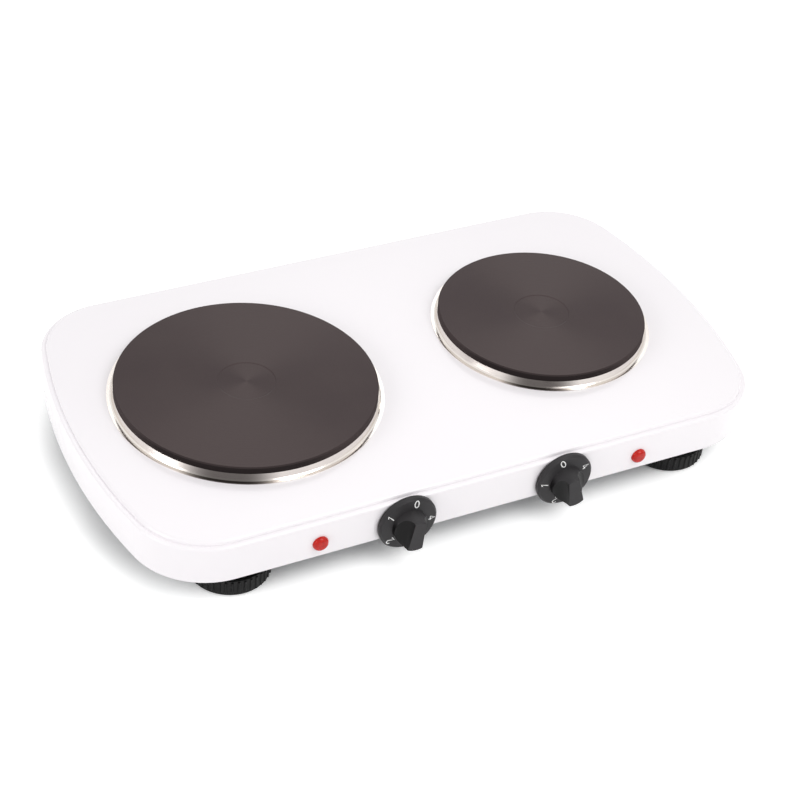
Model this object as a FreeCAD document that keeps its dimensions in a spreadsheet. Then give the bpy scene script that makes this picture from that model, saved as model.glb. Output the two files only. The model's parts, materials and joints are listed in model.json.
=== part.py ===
import FreeCAD, Part
import math
import os
import re
import Sketcher

# A double hot plate: pressed-steel housing on four screw feet, two cast-iron plates, two knobs.
# Millimetres. +Z is up, the knobs face -Y, and z = 0 is the surface that the feet stand on.

SIZES = (
    ("housing_length", "495", "housing, end to end"),
    ("housing_depth", "278", "housing, front to back"),
    ("corner_radius", "55", "housing corners in plan"),
    ("end_radius", "420", "bow of the housing's ends in plan"),
    ("sheet", "0.8", "housing sheet"),
    ("skirt_clear", "23.5", "surface to the skirt's lower edge"),
    ("skirt_height", "28.8", "skirt, lower edge to ledge"),
    ("edge_radius", "1.5", "rounding of the ledge's edge"),
    ("step_inset", "3.6", "ledge round the raised deck"),
    ("step_rise", "3.2", "deck above the ledge"),
    ("deck_radius", "2.4", "rounding of the deck's edge"),
    ("lip_width", "11", "in-turned lip under the skirt"),
    ("large_dia", "185", "large plate"),
    ("small_dia", "155", "small plate"),
    ("plate_spacing", "237.4", "between the plates' centres"),
    ("plate_rise", "10.5", "plate tops above the deck"),
    ("plate_thickness", "14", "plate, top to underside"),
    ("rim_height", "5", "full-width rim of a plate"),
    ("rim_bevel", "0.8", "bevel round a plate's top"),
    ("rabbet", "2", "step under the rim that sits on the trim ring"),
    ("dimple_radius", "20", "turned recess in the middle of a plate"),
    ("dimple_depth", "0.3", "depth of that recess"),
    ("dimple_slope", "0.8", "width of that recess's sloping edge"),
    ("boss_radius", "13", "boss under a plate"),
    ("boss_height", "2", "boss below the underside"),
    ("channel_inner", "26", "inner radius of the element channel"),
    ("channel_wall", "6", "iron outside the element channel"),
    ("channel_depth", "6", "element channel"),
    ("opening_gap", "0.8", "deck opening round a plate's lower part"),
    ("ring_sheet", "0.6", "trim ring sheet"),
    ("ring_gap", "0.25", "trim ring round a plate"),
    ("ring_lean", "1.4", "lean of the trim ring's wall"),
    ("ring_curl", "0.9", "bend from the ring's wall to its flange"),
    ("ring_flange", "4.6", "flange of the trim ring beyond the plate"),
    ("cover_sheet", "0.5", "cover dish under a plate"),
    ("cover_rim", "3", "down-turned rim of the cover dish"),
    ("cover_gap", "1", "cover dish inside the plate's side"),
    ("pin_radius", "1.5", "element terminal pins"),
    ("pin_length", "12", "element terminal pins, length"),
    ("pin_spacing", "12", "between the two pins"),
    ("pin_offset", "45", "pins in front of the plate's centre"),
    ("terminal_width", "26", "ceramic terminal piece"),
    ("terminal_depth", "13", "ceramic terminal piece"),
    ("terminal_height", "11", "ceramic terminal piece"),
    ("stud_radius", "3", "plate stud"),
    ("stud_grip", "9", "plate stud inside the boss"),
    ("stud_reach", "15", "plate stud below the boss"),
    ("bridge_sheet", "2", "clamp bridge strip"),
    ("bridge_width", "24", "clamp bridge strip"),
    ("bridge_drop", "3", "clamp bridge below the boss"),
    ("bridge_leg", "1.5", "bridge legs outside the deck opening"),
    ("bridge_foot", "13", "bridge feet outside the deck opening"),
    ("washer_radius", "7", "plate washer"),
    ("washer_height", "1.5", "plate washer"),
    ("nut_radius", "5.77", "plate nut across corners, half"),
    ("nut_height", "5", "plate nut"),
    ("knob_spacing", "121.5", "between the knobs' axes"),
    ("knob_rise", "11.5", "knob axes above the skirt's lower edge"),
    ("knob_gap", "1", "dial off the front wall"),
    ("knob_height", "18", "dial's back to the grip's front"),
    ("dial_dia", "42.8", "dial"),
    ("dial_rim", "2.6", "dial at its rim"),
    ("dial_bevel", "1.4", "bevel round the dial's face"),
    ("dial_dome", "0.8", "rise of the dial's face to the grip"),
    ("knob_wall", "2", "moulded wall of the knob"),
    ("grip_base", "12.7", "grip's radius at the dial"),
    ("grip_front", "12.3", "grip's radius at its front"),
    ("grip_edge", "0.7", "rounding round the grip's front"),
    ("scoop_radius", "10", "hollow in each flank of the grip"),
    ("waist_top", "7", "grip between the hollows, at the dial's edge by the pointer"),
    ("waist_bottom", "12", "grip between the hollows, at the dial's other edge"),
    ("hub_radius", "6", "hub inside the knob"),
    ("left_turn", "-6", "left knob from its off mark, degrees"),
    ("right_turn", "14", "right knob from its off mark, degrees"),
    ("shaft_radius", "3", "control shaft"),
    ("shaft_flat", "1", "flat on the control shaft"),
    ("shaft_out", "12", "shaft in front of the wall"),
    ("shaft_in", "14", "shaft behind the wall's front"),
    ("shaft_hole", "5", "wall hole round the shaft"),
    ("control_width", "36", "control body"),
    ("control_height", "21", "control body"),
    ("control_depth", "26", "control body"),
    ("control_bevel", "1.5", "bevel round the control's back"),
    ("tab_width", "6.3", "control's blade tabs"),
    ("tab_length", "8", "control's blade tabs"),
    ("tab_spacing", "14", "between the blade tabs"),
    ("tab_sheet", "0.8", "control's blade tabs"),
    ("screw_radius", "1.6", "small screws"),
    ("screw_head", "2.9", "small screw heads"),
    ("screw_rise", "1.5", "height of small screw heads"),
    ("screw_length", "6", "small screws"),
    ("screw_spacing", "26", "between a control's two screws"),
    ("lamp_spacing", "246.6", "between the lamps' axes"),
    ("lamp_rise", "11.4", "lamp axes above the skirt's lower edge"),
    ("lamp_dia", "11.2", "lamp lens"),
    ("lamp_height", "3.4", "lens in front of the wall"),
    ("lamp_round", "3", "rounding of the lens"),
    ("lamp_stem", "4.4", "lens stem"),
    ("lamp_stem_length", "7", "lens stem"),
    ("holder_wall", "1.6", "lamp holder"),
    ("holder_length", "15", "lamp holder"),
    ("gland_rise", "14", "gland axis above the skirt's lower edge"),
    ("gland_reach", "8", "gland behind the rear wall"),
    ("gland_flange", "10", "gland flange"),
    ("gland_flange_height", "3", "gland flange"),
    ("gland_dome", "7.5", "gland's outer end"),
    ("gland_bevel", "0.8", "bevel round the gland's outer end"),
    ("gland_thread", "6.5", "gland's threaded part"),
    ("gland_inside", "9", "gland in front of the rear wall's outside"),
    ("gland_bore", "4", "gland's cord bore"),
    ("gland_nut_radius", "10", "gland nut across corners, half"),
    ("gland_nut_height", "4", "gland nut"),
    ("block_width", "60", "mains terminal block"),
    ("block_depth", "18", "mains terminal block"),
    ("block_height", "14", "mains terminal block"),
    ("block_inset", "39", "mains terminal block in from the rear wall"),
    ("way_gap", "0.3", "block's wire ways round their wires"),
    ("way_spacing", "11", "between the wire ways"),
    ("base_sheet", "0.8", "base plate"),
    ("base_inset", "1.2", "base plate inside the skirt's outline"),
    ("base_screw_inset", "97.5", "base screws in from the housing's ends"),
    ("vent_width", "5", "vent slots"),
    ("vent_length", "60", "vent slots"),
    ("vent_pitch", "14", "vent slots"),
    ("vent_count", "7", "vent slots under each plate"),
    ("foot_end", "74.5", "feet in from the housing's ends"),
    ("foot_side", "34", "feet in from the housing's long sides"),
    ("wheel_radius", "27.6", "foot wheel inside its ribs"),
    ("wheel_height", "13", "foot wheel"),
    ("wheel_wall", "2.6", "foot wheel"),
    ("wheel_floor", "4", "foot wheel's floor"),
    ("wheel_bevel", "1", "bevel round the wheel's sole"),
    ("wheel_boss", "8", "boss in the foot wheel"),
    ("wheel_boss_height", "15", "boss in the foot wheel"),
    ("rib_rise", "0.9", "grip ribs round the wheel"),
    ("rib_width", "2", "grip ribs round the wheel"),
    ("rib_margin", "1", "ribs short of the wheel's edges"),
    ("rib_count", "40", "grip ribs round the wheel"),
    ("foot_stud_radius", "4", "foot stud"),
    ("foot_stud_top", "11", "foot stud above the base plate's underside"),
    ("foot_nut_radius", "7.5", "foot nut across corners, half"),
    ("foot_nut_height", "6.5", "foot nut"),
    ("fit_gap", "0.05", "running and threaded fits, on the radius"),
    ("hole_gap", "0.3", "clearance holes, on the radius"),
    ("fill_gap", "0.1", "filling inside the element channel"),
    ("wire_radius", "1.1", "internal wires"),
    ("wire_bend", "25", "widest bends of the internal wires"),
    ("wire_drop", "12", "wires below the element pins before they turn"),
    ("wire_lead", "18", "straight lead of a wire off a tab or contact"),
    ("wire_run", "40", "straight run of a wire between terminal block and controls"),
    ("post_radius", "4", "earth post"),
    ("post_height", "5", "earth post"),
    ("post_inset", "94", "earth post in from the rear wall"),
)

doc = FreeCAD.newDocument("hot_plate_burner")
sheet = doc.addObject("Spreadsheet::Sheet", "Sizes")
for row, (alias, number, meaning) in enumerate(SIZES, 1):
    sheet.set(f"A{row}", meaning)
    sheet.set(f"B{row}", number)
    sheet.setAlias(f"B{row}", alias)
doc.recompute()

ALIASES = {alias for alias, number, meaning in SIZES}
SUBPARTS = []

# Heights above the surface, from the sizes.
LEDGE = "skirt_clear + skirt_height"
DECK = f"{LEDGE} + step_rise"
PLATE_TOP = f"{DECK} + plate_rise"
KNOB_Z = "skirt_clear + knob_rise"
LAMP_Z = "skirt_clear + lamp_rise"
GLAND_Z = "skirt_clear + gland_rise"
# The housing stands behind the origin by half of what the knobs reach out further than the gland.
MIDDLE_Y = "(knob_gap + knob_height - gland_reach) / 2"
FRONT = "-housing_depth / 2"
REAR = "housing_depth / 2"
# Heights below a plate's top.
UNDERSIDE = "-plate_thickness"
BOSS_END = "-plate_thickness - boss_height"
PANEL_UNDER = "-plate_rise - sheet"
BRIDGE_TOP = f"{BOSS_END} - bridge_drop"

SIDES = {"left": -1, "right": 1}
PLATES = {"large": -1, "small": 1}
CORNERS = {"front_left": (-1, -1), "front_right": (1, -1), "rear_left": (-1, 1), "rear_right": (1, 1)}
WAYS = {"left_return": -2, "left_feed": -1, "earth": 0, "right_feed": 1, "right_return": 2}
OUTWARD = FreeCAD.Rotation(FreeCAD.Vector(1, 0, 0), 90)
REARWARD = FreeCAD.Rotation(FreeCAD.Vector(1, 0, 0), -90)


def value(formula):
    """The number that a formula of sizes gives."""
    return float(sheet.evalExpression(formula))


def bind(item, prop, formula):
    """Tie a property to a formula of sizes."""
    def on_sheet(word):
        return f"Sizes.{word.group()}" if word.group() in ALIASES else word.group()
    item.setExpression(prop, re.sub(r"[a-z_]+", on_sheet, formula))


def subpart(item, label, x="0", y="0", z="0", rotation=None):
    """Name a sub-part and put it in its place; y is measured from the housing's middle."""
    item.Label = label
    if rotation:
        item.Placement = FreeCAD.Placement(item.Placement.Base, rotation)
    bind(item, ".Placement.Base.x", x)
    bind(item, ".Placement.Base.y", f"{MIDDLE_Y} + {y}")
    bind(item, ".Placement.Base.z", z)
    SUBPARTS.append(item)


def sketch(body, name, role, offset="0"):
    """An empty sketch on one of the body's own planes, moved along its normal."""
    drawing = body.newObject("Sketcher::SketchObject", name)
    plane = [feature for feature in body.Origin.OriginFeatures if feature.Role == role][0]
    drawing.AttachmentSupport = (plane, [""])
    drawing.MapMode = "FlatFace"
    bind(drawing, ".AttachmentOffset.Base.z", offset)
    return drawing


def fix_point(drawing, geometry, point, x, y):
    """Tie one point of a sketch to formulas of sizes."""
    for kind, axis, formula in (("DistanceX", -2, x), ("DistanceY", -1, y)):
        if formula == "0":
            drawing.addConstraint(Sketcher.Constraint("PointOnObject", geometry, point, axis))
        else:
            rule = Sketcher.Constraint(kind, -1, 1, geometry, point, value(formula))
            bind(drawing, f"Constraints[{drawing.addConstraint(rule)}]", formula)


def fix_radius(drawing, geometry, formula):
    """Tie an arc's or circle's radius to a formula of sizes."""
    rule = Sketcher.Constraint("Radius", geometry, value(formula))
    bind(drawing, f"Constraints[{drawing.addConstraint(rule)}]", formula)


def polygon(body, name, role, corners, offset="0"):
    """A closed outline of straight edges, every corner tied to the sizes."""
    drawing = sketch(body, name, role, offset)
    points = [FreeCAD.Vector(value(x), value(y), 0) for x, y in corners]
    count = len(points)
    for k in range(count):
        drawing.addGeometry(Part.LineSegment(points[k], points[(k + 1) % count]), False)
    for k in range(count):
        drawing.addConstraint(Sketcher.Constraint("Coincident", k, 2, (k + 1) % count, 1))
    for k, (x, y) in enumerate(corners):
        fix_point(drawing, k, 1, x, y)
    return drawing


def circles(body, name, role, rounds, offset="0"):
    """Circles given by centre and radius, tied to the sizes."""
    drawing = sketch(body, name, role, offset)
    upright = FreeCAD.Vector(0, 0, 1)
    for k, (x, y, radius) in enumerate(rounds):
        centre = FreeCAD.Vector(value(x), value(y), 0)
        drawing.addGeometry(Part.Circle(centre, upright, value(radius)), False)
        fix_point(drawing, k, 3, x, y)
        fix_radius(drawing, k, radius)
    return drawing


def plan(body, name, inset, height):
    """The housing's plan drawn in by an inset: straight long sides, bowed ends, round corners."""
    drawing = sketch(body, name, "XY_Plane", height)
    side = value(f"{REAR} - ({inset})")
    corner = value(f"corner_radius - ({inset})")
    end = value(f"end_radius - ({inset})")
    end_x = value("housing_length / 2 - end_radius")
    corner_y = value(f"{REAR} - corner_radius")
    corner_x = end_x + math.sqrt((end - corner) ** 2 - corner_y ** 2)
    lean = math.atan2(corner_y, corner_x - end_x)
    upright = FreeCAD.Vector(0, 0, 1)

    def arc(x, y, radius, start, stop):
        circle = Part.Circle(FreeCAD.Vector(x, y, 0), upright, radius)
        drawing.addGeometry(Part.ArcOfCircle(circle, start, stop), False)

    def line(x0, x1, y):
        drawing.addGeometry(Part.LineSegment(FreeCAD.Vector(x0, y, 0), FreeCAD.Vector(x1, y, 0)), False)

    quarter = math.pi / 2
    line(-corner_x, corner_x, -side)
    arc(corner_x, -corner_y, corner, -quarter, -lean)
    arc(end_x, 0, end, -lean, lean)
    arc(corner_x, corner_y, corner, lean, quarter)
    line(corner_x, -corner_x, side)
    arc(-corner_x, corner_y, corner, quarter, 2 * quarter - lean)
    arc(-end_x, 0, end, 2 * quarter - lean, 2 * quarter + lean)
    arc(-corner_x, -corner_y, corner, 2 * quarter + lean, 3 * quarter)
    for k in range(8):
        drawing.addConstraint(Sketcher.Constraint("Tangent", k, 2, (k + 1) % 8, 1))
    for long_side, formula in ((0, f"-({REAR} - ({inset}))"), (4, f"{REAR} - ({inset})")):
        drawing.addConstraint(Sketcher.Constraint("Horizontal", long_side))
        rule = Sketcher.Constraint("DistanceY", -1, 1, long_side, 1, value(formula))
        bind(drawing, f"Constraints[{drawing.addConstraint(rule)}]", formula)
    for k in (1, 3, 5, 7):
        fix_radius(drawing, k, f"corner_radius - ({inset})")
    for k, formula in ((2, "housing_length / 2 - end_radius"), (6, "end_radius - housing_length / 2")):
        fix_radius(drawing, k, f"end_radius - ({inset})")
        fix_point(drawing, k, 3, formula, "0")
    return drawing


def pad(body, name, drawing, length, reverse=False, both=False):
    """Grow a sketch along its normal, against it, or to both sides."""
    feature = body.newObject("PartDesign::Pad", name)
    feature.Profile = drawing
    feature.Reversed = reverse
    if both:
        feature.SideType = "Symmetric"
    bind(feature, "Length", length)
    doc.recompute()
    return feature


def pocket(body, name, drawing, length, reverse=False, both=False):
    """Cut a sketch into the body, and make sure that it took something away."""
    before = body.Tip.Shape.Volume
    feature = body.newObject("PartDesign::Pocket", name)
    feature.Profile = drawing
    feature.Reversed = reverse
    if both:
        feature.SideType = "Symmetric"
    bind(feature, "Length", length)
    doc.recompute()
    if not feature.Shape.Volume < before - 1e-3:
        raise ValueError(f"{body.Name}: {name} cuts nothing")
    return feature


def revolve(body, name, drawing):
    """Turn a section about its own upright axis."""
    feature = body.newObject("PartDesign::Revolution", name)
    feature.Profile = drawing
    feature.ReferenceAxis = (drawing, ["V_Axis"])
    feature.Angle = 360
    doc.recompute()
    return feature


def level_edges(feature, height):
    """Names of a feature's edges that lie wholly at one height."""
    level = value(height)
    names = []
    for k, edge in enumerate(feature.Shape.Edges, 1):
        if abs(edge.BoundBox.ZMin - level) < 1e-3 and abs(edge.BoundBox.ZMax - level) < 1e-3:
            names.append(f"Edge{k}")
    return names


def round_level(body, name, feature, height, radius):
    """Round every edge of a feature that lies at one height."""
    fillet = body.newObject("PartDesign::Fillet", name)
    fillet.Base = (feature, level_edges(feature, height))
    bind(fillet, "Radius", radius)
    doc.recompute()
    return fillet


def cylinder(name, radius, height, x="0", y="0", z="0"):
    """An upright cylinder whose foot is at a point."""
    item = doc.addObject("Part::Cylinder", name)
    bind(item, "Radius", radius)
    bind(item, "Height", height)
    for axis, formula in (("x", x), ("y", y), ("z", z)):
        bind(item, f".Placement.Base.{axis}", formula)
    return item


def hexagon(name, radius, height, x="0", y="0", z="0"):
    """An upright hexagonal prism whose foot is at a point."""
    item = doc.addObject("Part::Prism", name)
    item.Polygon = 6
    bind(item, "Circumradius", radius)
    bind(item, "Height", height)
    for axis, formula in (("x", x), ("y", y), ("z", z)):
        bind(item, f".Placement.Base.{axis}", formula)
    return item


def cut(name, base, tool):
    """One solid less another."""
    item = doc.addObject("Part::Cut", name)
    item.Base = base
    item.Tool = tool
    return item


def fuse(name, base, tool):
    """Two solids in one."""
    item = doc.addObject("Part::Fuse", name)
    item.Base = base
    item.Tool = tool
    return item


def group(label, items, x="0", y="0", z="0", rotation=None):
    """Alike pieces that share one node."""
    item = doc.addObject("Part::Compound", label)
    item.Links = items
    subpart(item, label, x, y, z, rotation)


def plate_x(name):
    """A plate's centre right of the middle."""
    return f"{PLATES[name]} * plate_spacing / 2"


def base_screw_places():
    """Six screws along the middle of the skirt's lip."""
    middle = "(sheet + lip_width) / 2"
    along = "(housing_length / 2 - base_screw_inset)"
    places = [(f"{x} * {along}", f"{y} * ({REAR} - {middle})") for x, y in CORNERS.values()]
    places += [(f"{side} * (housing_length / 2 - {middle})", "0") for side in SIDES.values()]
    return places


def foot_place(corner):
    """The axis of one foot."""
    x, y = CORNERS[corner]
    return f"{x} * (housing_length / 2 - foot_end)", f"{y} * ({REAR} - foot_side)"


def build_housing():
    """A drawn sheet shell: skirt with an in-turned lip, ledge, raised deck, and its openings."""
    body = doc.addObject("PartDesign::Body", "housing")
    skirt = pad(body, "skirt", plan(body, "skirt_plan", "0", "skirt_clear"), "skirt_height")
    round_level(body, "ledge_edge", skirt, LEDGE, "edge_radius")
    deck = pad(body, "deck", plan(body, "deck_plan", "step_inset", LEDGE), "step_rise")
    round_level(body, "deck_edge", deck, DECK, "deck_radius")
    mouth = plan(body, "lip_plan", "lip_width", "skirt_clear")
    pocket(body, "lip_mouth", mouth, "sheet", reverse=True)
    inside = plan(body, "inside_plan", "sheet", "skirt_clear + sheet")
    hollow = pocket(body, "inside", inside, "skirt_height - 2 * sheet", reverse=True)
    round_level(body, "ledge_inner_edge", hollow, f"{LEDGE} - sheet", "edge_radius - sheet")
    under = plan(body, "under_plan", "step_inset + sheet", f"{LEDGE} - sheet")
    raised = pocket(body, "under_deck", under, "step_rise", reverse=True)
    round_level(body, "deck_inner_edge", raised, f"{DECK} - sheet", "deck_radius - sheet")
    openings = [(plate_x(name), "0", f"{name}_dia / 2 - rabbet + opening_gap") for name in PLATES]
    pocket(body, "plate_openings", circles(body, "opening_plan", "XY_Plane", openings, DECK), "2 * sheet")
    front = []
    for side in SIDES.values():
        axis = f"{side} * knob_spacing / 2"
        front.append((axis, KNOB_Z, "shaft_hole"))
        for way in SIDES.values():
            front.append((f"{axis} + {way} * screw_spacing / 2", KNOB_Z, "screw_radius + hole_gap"))
        front.append((f"{side} * lamp_spacing / 2", LAMP_Z, "lamp_stem + fit_gap"))
    drilled = circles(body, "front_plan", "XZ_Plane", front, REAR)
    pocket(body, "front_holes", drilled, "4 * sheet", both=True)
    rear = circles(body, "rear_plan", "XZ_Plane", [("0", GLAND_Z, "gland_thread + hole_gap")], FRONT)
    pocket(body, "gland_hole", rear, "4 * sheet", both=True)
    tapped = [(x, y, "screw_radius + fit_gap") for x, y in base_screw_places()]
    lip = circles(body, "lip_holes_plan", "XY_Plane", tapped, "skirt_clear")
    pocket(body, "lip_holes", lip, "4 * sheet", both=True)
    subpart(body, "housing")


def build_base():
    """The base plate under the lip with its vents, its screws, and the nuts of the feet."""
    body = doc.addObject("PartDesign::Body", "base_plate")
    bottom = "skirt_clear - base_sheet"
    pad(body, "blank", plan(body, "base_plan", "base_inset", bottom), "base_sheet")
    holes = [(x, y, "screw_radius + hole_gap") for x, y in base_screw_places()]
    holes += [(*foot_place(corner), "foot_stud_radius + hole_gap") for corner in CORNERS]
    holes_plan = circles(body, "base_holes_plan", "XY_Plane", holes, bottom)
    pocket(body, "base_holes", holes_plan, "base_sheet", reverse=True)
    for name in PLATES:
        first = f"{plate_x(name)} - (vent_count - 1) * vent_pitch / 2"
        slot = polygon(body, f"{name}_vent_plan", "XY_Plane", [
            (f"{first} - vent_width / 2", "-vent_length / 2"),
            (f"{first} + vent_width / 2", "-vent_length / 2"),
            (f"{first} + vent_width / 2", "vent_length / 2"),
            (f"{first} - vent_width / 2", "vent_length / 2"),
        ], bottom)
        vent = pocket(body, f"{name}_vent", slot, "base_sheet", reverse=True)
        row = body.newObject("PartDesign::LinearPattern", f"{name}_vents")
        row.Originals = [vent]
        row.Direction = (slot, ["H_Axis"])
        bind(row, "Length", "(vent_count - 1) * vent_pitch")
        bind(row, "Occurrences", "vent_count")
        body.Tip = row
        doc.recompute()
    subpart(body, "base_plate")
    screws = []
    for k, (x, y) in enumerate(base_screw_places()):
        head = cylinder(f"base_head_{k}", "screw_head", "screw_rise", x, y, f"{bottom} - screw_rise")
        shank = cylinder(f"base_shank_{k}", "screw_radius", "screw_length", x, y, bottom)
        screws.append(fuse(f"base_screw_{k}", head, shank))
    group("base_screws", screws)
    nuts = []
    for corner in CORNERS:
        at = (*foot_place(corner), "skirt_clear")
        blank = hexagon(f"{corner}_nut_blank", "foot_nut_radius", "foot_nut_height", *at)
        bore = cylinder(f"{corner}_nut_bore", "foot_stud_radius + fit_gap", "foot_nut_height", *at)
        nuts.append(cut(f"{corner}_nut", blank, bore))
    group("foot_nuts", nuts)


def build_plate(name):
    """A cast plate with its trim ring, element, cover, stud, clamp bridge and terminal piece."""
    edge = f"{name}_dia / 2"
    lower = f"{edge} - rabbet"
    opening = f"{lower} + opening_gap"
    channel = f"{lower} - channel_wall"
    roof = f"{UNDERSIDE} + channel_depth"
    stud_bore = "stud_radius + fit_gap"
    place = (plate_x(name), "0", PLATE_TOP)

    body = doc.addObject("PartDesign::Body", f"{name}_plate")
    revolve(body, "casting", polygon(body, "casting_section", "XZ_Plane", [
        ("0", "-dimple_depth"),
        ("dimple_radius", "-dimple_depth"),
        ("dimple_radius + dimple_slope", "0"),
        (f"{edge} - rim_bevel", "0"),
        (edge, "-rim_bevel"),
        (edge, "-rim_height"),
        (lower, "-rim_height"),
        (lower, UNDERSIDE),
        (channel, UNDERSIDE),
        (channel, roof),
        ("channel_inner", roof),
        ("channel_inner", UNDERSIDE),
        ("boss_radius", UNDERSIDE),
        ("boss_radius", BOSS_END),
        (stud_bore, BOSS_END),
        (stud_bore, f"{BOSS_END} + stud_grip"),
        ("0", f"{BOSS_END} + stud_grip"),
    ]))
    subpart(body, f"{name}_plate", *place)

    ring = doc.addObject("PartDesign::Body", f"{name}_trim_ring")
    bend = f"{edge} + ring_lean + ring_curl"
    revolve(ring, "ring", polygon(ring, "ring_section", "XZ_Plane", [
        (f"{lower} + ring_gap", "-rim_height"),
        (f"{edge} + ring_gap", "-rim_height"),
        (f"{edge} + ring_lean", "-plate_rise + ring_sheet + ring_curl"),
        (bend, "-plate_rise + ring_sheet"),
        (f"{edge} + ring_flange", "-plate_rise + ring_sheet"),
        (f"{edge} + ring_flange", "-plate_rise"),
        (f"{bend} - ring_sheet / 2", "-plate_rise"),
        (f"{edge} + ring_lean - ring_sheet", "-plate_rise + ring_sheet / 2 + ring_curl"),
        (f"{edge} + ring_gap - ring_sheet", "-rim_height - ring_sheet"),
        (f"{lower} + ring_gap", "-rim_height - ring_sheet"),
    ]))
    subpart(ring, f"{name}_trim_ring", *place)

    pins = [(f"{way} * pin_spacing / 2", "-pin_offset", "pin_radius") for way in SIDES.values()]
    element = doc.addObject("PartDesign::Body", f"{name}_element")
    revolve(element, "filling", polygon(element, "filling_section", "XZ_Plane", [
        ("channel_inner + fill_gap", roof),
        (f"{channel} - fill_gap", roof),
        (f"{channel} - fill_gap", f"{UNDERSIDE} + fill_gap"),
        ("channel_inner + fill_gap", f"{UNDERSIDE} + fill_gap"),
    ]))
    pins_plan = circles(element, "pins_plan", "XY_Plane", pins, f"{UNDERSIDE} + fill_gap")
    pad(element, "pins", pins_plan, "pin_length", reverse=True)
    subpart(element, f"{name}_element", *place)

    cover = doc.addObject("PartDesign::Body", f"{name}_cover")
    dish = f"{lower} - cover_gap"
    revolve(cover, "dish", polygon(cover, "dish_section", "XZ_Plane", [
        ("boss_radius + hole_gap", UNDERSIDE),
        (dish, UNDERSIDE),
        (dish, f"{UNDERSIDE} - cover_rim"),
        (f"{dish} - cover_sheet", f"{UNDERSIDE} - cover_rim"),
        (f"{dish} - cover_sheet", f"{UNDERSIDE} - cover_sheet"),
        ("boss_radius + hole_gap", f"{UNDERSIDE} - cover_sheet"),
    ]))
    pin_holes = [(x, y, f"{radius} + hole_gap") for x, y, radius in pins]
    holes_plan = circles(cover, "pin_holes_plan", "XY_Plane", pin_holes, UNDERSIDE)
    pocket(cover, "pin_holes", holes_plan, "2 * cover_sheet", both=True)
    subpart(cover, f"{name}_cover", *place)

    stud = cylinder(f"{name}_stud", "stud_radius", "stud_grip + stud_reach")
    subpart(stud, f"{name}_stud", place[0], place[1], f"{PLATE_TOP} + ({BOSS_END}) - stud_reach")

    bridge = doc.addObject("PartDesign::Body", f"{name}_clamp_bridge")
    leg = f"{opening} + bridge_leg"
    foot = f"{opening} + bridge_foot"
    half = [
        (foot, PANEL_UNDER),
        (leg, PANEL_UNDER),
        (leg, BRIDGE_TOP),
    ]
    outer = [
        (f"{leg} + bridge_sheet", f"{BRIDGE_TOP} - bridge_sheet"),
        (f"{leg} + bridge_sheet", f"{PANEL_UNDER} - bridge_sheet"),
        (foot, f"{PANEL_UNDER} - bridge_sheet"),
    ]
    mirrored = [(f"-({x})", z) for x, z in half[::-1]] + [(f"-({x})", z) for x, z in outer[::-1]]
    strip = polygon(bridge, "strip_section", "XZ_Plane", half + mirrored + outer)
    pad(bridge, "strip", strip, "bridge_width", both=True)
    hole = circles(bridge, "stud_hole_plan", "XY_Plane", [("0", "0", "stud_radius + hole_gap")], BRIDGE_TOP)
    pocket(bridge, "stud_hole", hole, "bridge_sheet")
    subpart(bridge, f"{name}_clamp_bridge", *place)

    block = doc.addObject("Part::Box", f"{name}_terminal_blank")
    bind(block, "Length", "terminal_width")
    bind(block, "Width", "terminal_depth")
    bind(block, "Height", "terminal_height")
    bind(block, ".Placement.Base.x", "-terminal_width / 2")
    bind(block, ".Placement.Base.y", "-pin_offset - terminal_depth / 2")
    for way in SIDES.values():
        axis = (f"{way} * pin_spacing / 2", "-pin_offset")
        bore = cylinder(f"{name}_pin_bore", "pin_radius + fit_gap", "terminal_height", *axis)
        block = cut(f"{name}_bored_blank", block, bore)
    low = f"{PLATE_TOP} + ({UNDERSIDE}) - cover_sheet - terminal_height"
    subpart(block, f"{name}_terminal", place[0], "0", low)


def build_plate_fasteners():
    """The washer and nut that pull each clamp bridge against the deck."""
    washers = []
    nuts = []
    bottom = f"{PLATE_TOP} + ({BRIDGE_TOP}) - bridge_sheet"
    bore = "stud_radius + fit_gap"
    for name in PLATES:
        at = (plate_x(name), "0", f"{bottom} - washer_height")
        blank = cylinder(f"{name}_washer_blank", "washer_radius", "washer_height", *at)
        hole = cylinder(f"{name}_washer_bore", bore, "washer_height", *at)
        washers.append(cut(f"{name}_washer", blank, hole))
        at = (plate_x(name), "0", f"{bottom} - washer_height - nut_height")
        blank = hexagon(f"{name}_nut_blank", "nut_radius", "nut_height", *at)
        hole = cylinder(f"{name}_nut_bore", bore, "nut_height", *at)
        nuts.append(cut(f"{name}_nut", blank, hole))
    group("plate_washers", washers)
    group("plate_nuts", nuts)


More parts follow.
